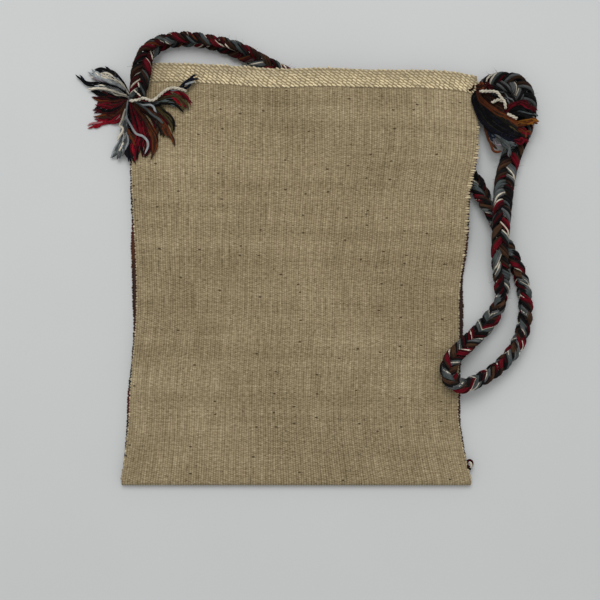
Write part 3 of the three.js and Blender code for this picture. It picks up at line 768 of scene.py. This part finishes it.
# Tassels: the braid's loose yarn ends, spread in all directions from each tie and frayed at their tips.
# The left one lies on the mouth's corner and falls to the floor beside it; the right one lies over the strap's arch.
# Each tuft: its yarns' colours, their number, and the one or two paths that bound it, as x and y in tenths of a mm.
LEFT_TUFTS = [
    ("black wine black black wine black umber wine rust wine brown wine brown red wine red red", 34,
     [-1537, 1526, -1636, 1572, -1744, 1611, -1862, 1620],
     [-1537, 1508, -1583, 1406, -1652, 1337, -1740, 1338, -1831, 1342]),
    ("scarlet red pink red scarlet", 6, [-1547, 1504, -1612, 1397, -1721, 1357, -1812, 1347, -1883, 1313],
     [-1541, 1495, -1592, 1377, -1681, 1328, -1776, 1332, -1892, 1286]),
    ("black coal navy black", 6, [-1532, 1503, -1553, 1331, -1550, 1168, -1568, 1078, -1557, 1015],
     [-1523, 1503, -1516, 1331, -1488, 1156, -1513, 1078, -1449, 941]),
    ("wine black red wine scarlet wine red wine", 28,
     [-1523, 1503, -1517, 1367, -1479, 1192, -1513, 1078, -1494, 977],
     [-1493, 1489, -1385, 1354, -1339, 1210, -1337, 1084, -1371, 995]),
    ("wine brown black wine moss brown", 13, [-1484, 1489, -1376, 1390, -1305, 1300, -1268, 1201],
     [-1466, 1493, -1342, 1444, -1252, 1372, -1189, 1273, -1180, 1192]),
    ("olive moss olive brown black", 10, [-1457, 1498, -1342, 1475, -1253, 1408, -1190, 1327, -1145, 1237],
     [-1449, 1502, -1307, 1493, -1218, 1435, -1155, 1345, -1110, 1246]),
    ("rust brown rust umber", 9, [-1501, 1484, -1420, 1372, -1348, 1255, -1312, 1156, -1345, 1004],
     [-1493, 1489, -1394, 1381, -1322, 1273, -1276, 1156, -1301, 1021]),
    ("rust brown rust", 6, [-1493, 1489, -1386, 1426, -1305, 1363, -1234, 1291, -1180, 1201],
     [-1479, 1493, -1368, 1435, -1270, 1372, -1199, 1300, -1121, 1107]),
    ("rust brown rust", 5, [-1541, 1504, -1593, 1434, -1607, 1350, -1571, 1259, -1497, 1165],
     [-1532, 1499, -1569, 1423, -1577, 1340, -1533, 1250, -1434, 1120]),
    ("pale teal grey pale teal cream grey", 11, [-1558, 1367, -1590, 1268, -1604, 1177, -1659, 1105, -1717, 1032],
     [-1545, 1367, -1547, 1250, -1536, 1150, -1551, 1078, -1562, 996]),
    ("black navy coal black navy", 9, [-1507, 1543, -1588, 1681, -1690, 1799, -1784, 1846, -1843, 1819],
     [-1529, 1553, -1617, 1657, -1718, 1734, -1810, 1763, -1892, 1790]),
    ("cream pale cream", 4, [-1520, 1558, -1608, 1692, -1699, 1755, -1783, 1781, -1873, 1754],
     [-1524, 1553, -1617, 1671, -1708, 1733, -1801, 1754, -1890, 1726]),
    ("grey pale lilac", 4, [-1524, 1549, -1617, 1657, -1708, 1714, -1809, 1731, -1920, 1828],
     [-1528, 1549, -1627, 1649, -1718, 1701, -1818, 1716, -1899, 1707]),
    ("black navy", 3, [-1528, 1549, -1627, 1649, -1717, 1678, -1827, 1689, -1918, 1698, -1996, 1763],
     [-1533, 1544, -1631, 1636, -1726, 1670, -1827, 1680, -1917, 1685, -1981, 1736]),
    ("cream pale teal grey", 5, [-1537, 1544, -1656, 1598, -1754, 1653, -1845, 1671, -1935, 1662],
     [-1537, 1532, -1636, 1572, -1715, 1618, -1790, 1629, -1835, 1633]),
    ("teal black moss teal", 6, [-1440, 1502, -1307, 1484, -1236, 1507, -1175, 1530, -1095, 1543],
     [-1440, 1498, -1307, 1462, -1227, 1480, -1139, 1453, -1041, 1412]),
    ("wine red scarlet wine", 7,
     [-1431, 1507, -1316, 1511, -1255, 1552, -1184, 1588, -1087, 1588, -1007, 1557, -962, 1498],
     [-1431, 1502, -1316, 1498, -1246, 1530, -1166, 1543, -1095, 1489, -1014, 1417]),
    ("olive brown", 3, [-1342, 1498, -1228, 1534, -1104, 1543, -1033, 1480, -979, 1426],
     [-1342, 1489, -1228, 1516, -1122, 1521, -1059, 1462, -1014, 1399]),
    ("navy navy grey navy pale", 6, [-1211, 1588, -1096, 1606, -1017, 1670, -955, 1697, -911, 1691],
     [-1202, 1579, -1078, 1597, -1008, 1625, -955, 1652, -911, 1670]),
    ("pale cream pale", 4, [-1550, 1600, -1632, 1664, -1713, 1714, -1785, 1742, -1848, 1792, -1894, 1847],
     [-1559, 1591, -1641, 1655, -1722, 1701, -1793, 1724, -1848, 1751, -1884, 1792]),
    ("cream", 1, [-1541, 1546, -1613, 1573, -1685, 1614, -1765, 1637, -1837, 1646, -1899, 1641]),
    ("pale", 1,
     [-1530, 1503, -1547, 1367, -1504, 1279, -1459, 1211, -1400, 1189, -1359, 1144, -1355, 1093, -1376, 1039]),
    ("pale", 1, [-1484, 1502, -1418, 1465, -1330, 1458, -1286, 1413]),
    ("teal", 1, [-1466, 1489, -1368, 1421, -1270, 1338, -1230, 1300]),
    ("cream", 1, [-1550, 1423, -1582, 1340, -1612, 1290, -1581, 1254, -1619, 1177])]
RIGHT_TUFTS = [
    ("coal black grey coal black brown", 12, [1682, 1603, 1752, 1603, 1823, 1576, 1875, 1522, 1900, 1459],
     [1681, 1558, 1733, 1531, 1777, 1495, 1812, 1459, 1838, 1423]),
    ("umber black umber brown", 14, [1567, 1612, 1646, 1576, 1724, 1522, 1794, 1459, 1855, 1405],
     [1566, 1585, 1627, 1504, 1697, 1441, 1775, 1396, 1854, 1342]),
    ("rust brown", 2, [1598, 1351, 1618, 1243, 1643, 1135, 1681, 1059, 1743, 1050],
     [1607, 1351, 1627, 1243, 1656, 1144, 1699, 1077, 1743, 1064]),
    ("lilac grey", 2, [1648, 1189, 1674, 1144, 1700, 1109, 1743, 1073],
     [1657, 1198, 1692, 1153, 1726, 1117, 1761, 1082]),
    ("blue navy", 3, [1597, 1315, 1632, 1243, 1666, 1180, 1691, 1135],
     [1615, 1324, 1649, 1252, 1684, 1198, 1718, 1144]),
    ("grey teal black grey", 6, [1615, 1297, 1658, 1234, 1710, 1185, 1779, 1135, 1867, 1100],
     [1633, 1315, 1685, 1252, 1745, 1207, 1815, 1162, 1885, 1126]),
    ("teal grey", 3, [1675, 1207, 1718, 1162, 1761, 1109, 1796, 1055, 1812, 1001],
     [1693, 1216, 1745, 1171, 1788, 1117, 1822, 1064, 1839, 1001]),
    ("wine red wine", 5, [1824, 1162, 1877, 1153, 1921, 1149, 1965, 1153],
     [1814, 1126, 1867, 1109, 1920, 1109, 1973, 1126]),
    ("navy black navy black black coal navy black moss black", 34,
     [1531, 1594, 1499, 1522, 1533, 1414, 1575, 1315, 1640, 1243, 1719, 1194, 1815, 1153, 1912, 1144],
     [1566, 1581, 1618, 1477, 1705, 1391, 1800, 1319, 1879, 1256, 1939, 1207, 1965, 1171]),
    ("moss coal olive moss", 7, [1591, 1477, 1660, 1387, 1748, 1324, 1834, 1256, 1904, 1198, 1965, 1162],
     [1618, 1477, 1713, 1382, 1818, 1310, 1887, 1252, 1939, 1207, 1983, 1171]),
    ("rust umber rust brown rust", 10, [1558, 1621, 1583, 1531, 1662, 1454, 1740, 1400, 1819, 1355, 1896, 1270],
     [1540, 1594, 1565, 1495, 1643, 1427, 1731, 1373, 1818, 1315, 1905, 1234]),
    ("red rust wine", 5, [1870, 1279, 1914, 1252, 1957, 1225, 2001, 1198],
     [1861, 1252, 1904, 1225, 1948, 1198, 1982, 1162]),
    ("ochre rust ochre brown", 6, [1844, 1297, 1897, 1306, 1950, 1310, 2012, 1319, 2074, 1324],
     [1852, 1261, 1905, 1265, 1958, 1274, 2011, 1288, 2065, 1306]),
    ("black coal black teal black coal", 9, [1802, 1405, 1864, 1432, 1935, 1423, 2004, 1387, 2057, 1360],
     [1827, 1342, 1880, 1351, 1942, 1342, 1995, 1333, 2038, 1315]),
    ("wine red wine red wine", 7, [1780, 1414, 1838, 1472, 1918, 1491, 1997, 1459, 2067, 1405],
     [1793, 1382, 1855, 1436, 1926, 1450, 1996, 1423, 2053, 1378]),
    ("rust wine umber rust", 6, [1536, 1640, 1567, 1653, 1594, 1658, 1629, 1640],
     [1536, 1599, 1567, 1599, 1593, 1599, 1620, 1594])]
TASSEL_YARN, TUFT_STEPS, BOUND_STEPS = 1.02, 40, 80
RUN_ON, CUT_SHORT, EDGE_FALL = 0.3, 0.22, 22.0
ARCH_FOOT, ARCH_AIM, ARCH_BASE, ARCH_SLOPE = (157.0, 156.6), (0.80, -0.60), 8.2, 0.125
TUFT_SHARE = np.linspace(0.0, 1.0, TUFT_STEPS)
FRAY = np.interp(TUFT_SHARE, [0.0, 0.04, 0.3, 0.86, 0.95, 1.0], [0.5, 0.7, 1.0, 1.12, 0.8, 0.12])


def bag_top(x, y):
    """Height of the plain half's outer face, and of the hem at the mouth, over a point of the floor."""
    h = np.clip(y - FOLD_Y, 0.0, BAG_HEIGHT)
    u = h / BAG_HEIGHT
    out = x - level(LEANS, u)
    r = np.clip(out / half_width(u, 0.0, out > 0.0), -1.0, 1.0)
    thick = CLOTH + ease(h, STRIP_TOP - 4.0, STRIP_TOP)
    return half_point(r, h, np.ones_like(h), thick, np.zeros_like(h))[..., 2]


def left_rest(x, y):
    """Top of the bag, falling to the floor within EDGE_FALL outside its left edge."""
    u = np.clip((y - FOLD_Y) / BAG_HEIGHT, 0.0, 1.0)
    outside = level(LEANS, u) - half_width(u, 0.0, False) - x
    return bag_top(x, y) * (1.0 - ease(outside, 0.0, EDGE_FALL))


def right_rest(x, y):
    """Plane that climbs from the right corner over the strap's arch."""
    climb = (x - ARCH_FOOT[0]) * ARCH_AIM[0] + (y - ARCH_FOOT[1]) * ARCH_AIM[1]
    return ARCH_BASE + ARCH_SLOPE * np.clip(climb, -4.0, 60.0)


def run_on(path):
    """Smooth path that goes on past its end by a share of its last step."""
    path = np.reshape(path, (-1, 2)) / 10.0
    return smooth_path(np.vstack([path, (1.0 + RUN_ON) * path[-1] - RUN_ON * path[-2]]), BOUND_STEPS)[0]


def tuft(count, bounds):
    """Yarns side by side between two paths, or along one. Each is cut to its own length and wanders more towards its
    tip, by two sine waves."""
    first, second = run_on(bounds[0]), run_on(bounds[-1])
    share = np.clip((np.arange(count) + 0.5) / count + chance.normal(0.0, 0.35 / count, count), -0.05, 1.05)
    whole = blend(first, second, share[:, None, None])
    reach = TUFT_SHARE * (1.0 - CUT_SHORT * chance.random((count, 1)) * (count > 1)) * (BOUND_STEPS - 1.01)
    near = reach.astype(int)
    row = np.arange(count)[:, None]
    flat = blend(whole[row, near], whole[row, near + 1], (reach - near)[..., None])
    phase = chance.random((count, 4)) * 2 * np.pi
    wander = (1.5 * np.sin(phase[:, :1] + (5.0 + phase[:, 1:2]) * TUFT_SHARE)
              + 0.6 * np.sin(phase[:, 2:3] + (13.0 + phase[:, 3:]) * TUFT_SHARE))
    aim = unit(np.gradient(flat, axis=1))
    sideways = np.stack([-aim[..., 1], aim[..., 0]], -1)
    return flat + sideways * (wander * TUFT_SHARE ** 1.1 * min(count, 3) / 3.0)[..., None]


def lay_tufts(tufts, rest, root, pile):
    """Paths and colours of all the tufts' yarns. They start at the tie's height and settle on what they lie on, later
    tufts higher. Their colours carry painted shade: darker at the root, where they crowd, lighter at the tips."""
    paths, colours = [], []
    along = TUFT_SHARE
    for number, (names, count, *bounds) in enumerate(tufts):
        flat = tuft(count, bounds)
        lift = (number + chance.random((count, 1))) / len(tufts)
        settled = rest(flat[..., 0], flat[..., 1]) + TASSEL_YARN + 0.1 + lift * pile * (1.0 - 0.45 * along)
        start = root - 2.5 + 5.0 * lift
        paths.append(np.concatenate([flat, blend(start, settled, ease(along, -0.05, 0.42))[..., None]], axis=-1))
        colours.append(np.resize(dyes(names), (count, 3)))
    # Painted shade: the yarns darken towards the tie and lighten towards their tips.
    root_shade = blend(0.5, 1.15, ease(along, 0.12, 0.9))[:, None]
    return np.concatenate(paths), np.concatenate(colours)[:, None] * root_shade


strap_pieces = [strap_nap]
for node, tufts, rest, root, pile, hairs in (("left_tassel", LEFT_TUFTS, left_rest, 13.5, 6.0, 700),
                                             ("right_tassel", RIGHT_TUFTS, right_rest, 12.5, 5.0, 350)):
    paths, colours = lay_tufts(tufts, rest, root, pile)
    tassel = yarn_piece(node + "_yarns", paths, TASSEL_YARN * FRAY, 7, colours)
    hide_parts(node)
    strap_pieces += [tassel, nap(node + "_nap", paths, colours, hairs)]

# Ties: a cream yarn wound round each end of the braid, with a long tail left loose on the tassel.
# Stitches of dark and rust yarn sew the strap to the corners of the mouth.
LEFT_TAIL = [
    (-152.0, 149.7), (-148.4, 149.8), (-144.1, 150.3), (-139.0, 151.7), (-133.1, 149.6), (-129.5, 150.3),
    (-125.1, 154.0), (-120.1, 158.1), (-115.0, 160.4), (-107.7, 159.8), (-101.0, 157.4)]
RIGHT_TAIL = [(156.2, 157.9), (161.0, 157.9), (170.9, 157.2), (174.7, 152.6), (178.0, 148.0), (179.0, 141.8)]
RIGHT_BRANCH = [(166.8, 147.5), (170.1, 149.3), (173.0, 150.4), (176.7, 149.4)]
RIGHT_END = [(179.8, 136.9), (184.1, 135.1), (188.7, 132.9)]
LEFT_CROSSES = [
    [(-146.9, 152.8), (-144.4, 156.1), (-140.9, 158.8)], [(-147.5, 158.8), (-144.4, 155.7), (-141.7, 153.4)],
    [(-144.0, 165.7), (-143.4, 163.7), (-143.1, 161.6)]]
RIGHT_HOOK = [(148.0, 161.0), (150.2, 161.3), (151.8, 162.6), (152.4, 165.0)]
TIE_STEPS, SEWN_STEPS = 160, 24
PLY_RADIUS, PLY_REACH, PLY_TURN = 0.82, 0.60, 6.5
BINDING_STEP, BINDING_TURNS, BINDING_PITCH = BRAID_STEPS - 3, 2.2, 2.2
BINDING_WIDE, BINDING_HIGH, BINDING_LIFT = 8.4, 3.4, 1.0
CROSS_RADIUS, CROSS_LIFT, CROSS_BOW, HOOK_RADIUS, HOOK_LIFT = 0.62, 0.6, 1.6, 0.9, 1.0

tie_share = np.linspace(0.0, 1.0, TIE_STEPS)
tie_fray = np.interp(tie_share, [0.0, 0.03, 0.95, 1.0], [0.3, 1.0, 1.0, 0.25])


def lay_tail(stations, rest, lift):
    """Tail of a tie on top of its tassel."""
    flat, _ = smooth_path(stations, TIE_STEPS)
    return np.column_stack([flat, rest(flat[:, 0], flat[:, 1]) + lift * (1.0 - 0.35 * tie_share)])


def two_ply(paths):
    """Two plies for each path, opposite each other and PLY_REACH from it, that wind round it once in PLY_TURN."""
    side, lift = side_and_lift(paths)
    run = np.cumsum(np.linalg.norm(np.gradient(paths, axis=1), axis=2), axis=1)
    angle = (2 * np.pi * run / PLY_TURN)[..., None]
    offset = PLY_REACH * (np.cos(angle) * side + np.sin(angle) * lift)
    return np.stack([paths + offset, paths - offset], axis=1).reshape(-1, TIE_STEPS, 3)


# Dark red binding of the right end: an ellipse round the braid, carried along it.
wound = tie_share[:, None]
angle = 2 * np.pi * BINDING_TURNS * wound
binding = centre[BINDING_STEP] + strap_aim[BINDING_STEP] * (wound - 0.5) * BINDING_TURNS * BINDING_PITCH
binding = (binding + BINDING_WIDE * np.cos(angle) * broadside[BINDING_STEP]
           + BINDING_HIGH * np.sin(angle) * facing[BINDING_STEP] + np.array([0.0, 0.0, BINDING_LIFT]))

left_tie = yarn_piece("left_tie_yarn", two_ply(np.array([lay_tail(LEFT_TAIL, left_rest, 8.6)])),
                      PLY_RADIUS * tie_fray, 7, dyes("cream cream"))
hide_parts("left_tie")
right_ties = np.array([lay_tail(RIGHT_TAIL, right_rest, 8.4), lay_tail(RIGHT_BRANCH, right_rest, 7.4),
                       lay_tail(RIGHT_END, right_rest, 7.2), binding])
right_tie = yarn_piece("right_tie_yarn", two_ply(right_ties), PLY_RADIUS * tie_fray, 7,
                       dyes("cream " * 6 + "wine wine"))
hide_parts("right_tie")

bowed = centre[0, 2] + FLAT_HALF + CROSS_LIFT - np.linspace(-1.0, 1.0, SEWN_STEPS) ** 2 * CROSS_BOW
crosses = np.array([np.column_stack([smooth_path(flat, SEWN_STEPS)[0], bowed]) for flat in LEFT_CROSSES])
left_stitch = yarn_piece("left_stitch_yarn", crosses, CROSS_RADIUS, 8, dyes("black cream cream"))
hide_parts("left_stitch")
hook, _ = smooth_path(RIGHT_HOOK, SEWN_STEPS)
hook = np.column_stack([hook, bag_top(hook[:, 0], hook[:, 1]) + HOOK_LIFT])
right_stitch = yarn_piece("right_stitch_yarn", hook[None], HOOK_RADIUS, 8, dyes("umber"))
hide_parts("right_stitch")

# Knot: the right seam's yarn is tied off near the fold, in a dark red loop round a cream end.
# A short dark stitch holds it to the edge of the under half.
KNOT_RISE, KNOT_OUT, KNOT_STEPS, KNOT_RADIUS = 19.0, 2.6, 40, 1.05
knot_x, knot_y = plan(np.array(1.0), np.array(KNOT_RISE), 1.0)
ring = np.linspace(0.0, 2 * np.pi, KNOT_STEPS)
half_ring = ring / 2
loop_x = knot_x + KNOT_OUT
knot_paths = np.array([
    np.column_stack([loop_x + 2.3 * np.cos(ring), knot_y + 2.9 * np.sin(ring), 5.4 + 0.5 * np.sin(2 * ring)]),
    np.column_stack([loop_x + 1.4 * np.sin(half_ring), knot_y - 1.0 + 2.2 * np.cos(half_ring),
                     5.2 + 0.8 * np.sin(half_ring)]),
    np.column_stack([knot_x + np.linspace(-0.5, 3.2, KNOT_STEPS), knot_y - np.linspace(2.6, 4.8, KNOT_STEPS),
                     5.6 + 0.5 * np.sin(half_ring)])])
seam_knot = yarn_piece("seam_knot_yarn", knot_paths, KNOT_RADIUS, 8, dyes("wine cream coal"))
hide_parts("seam_knot")
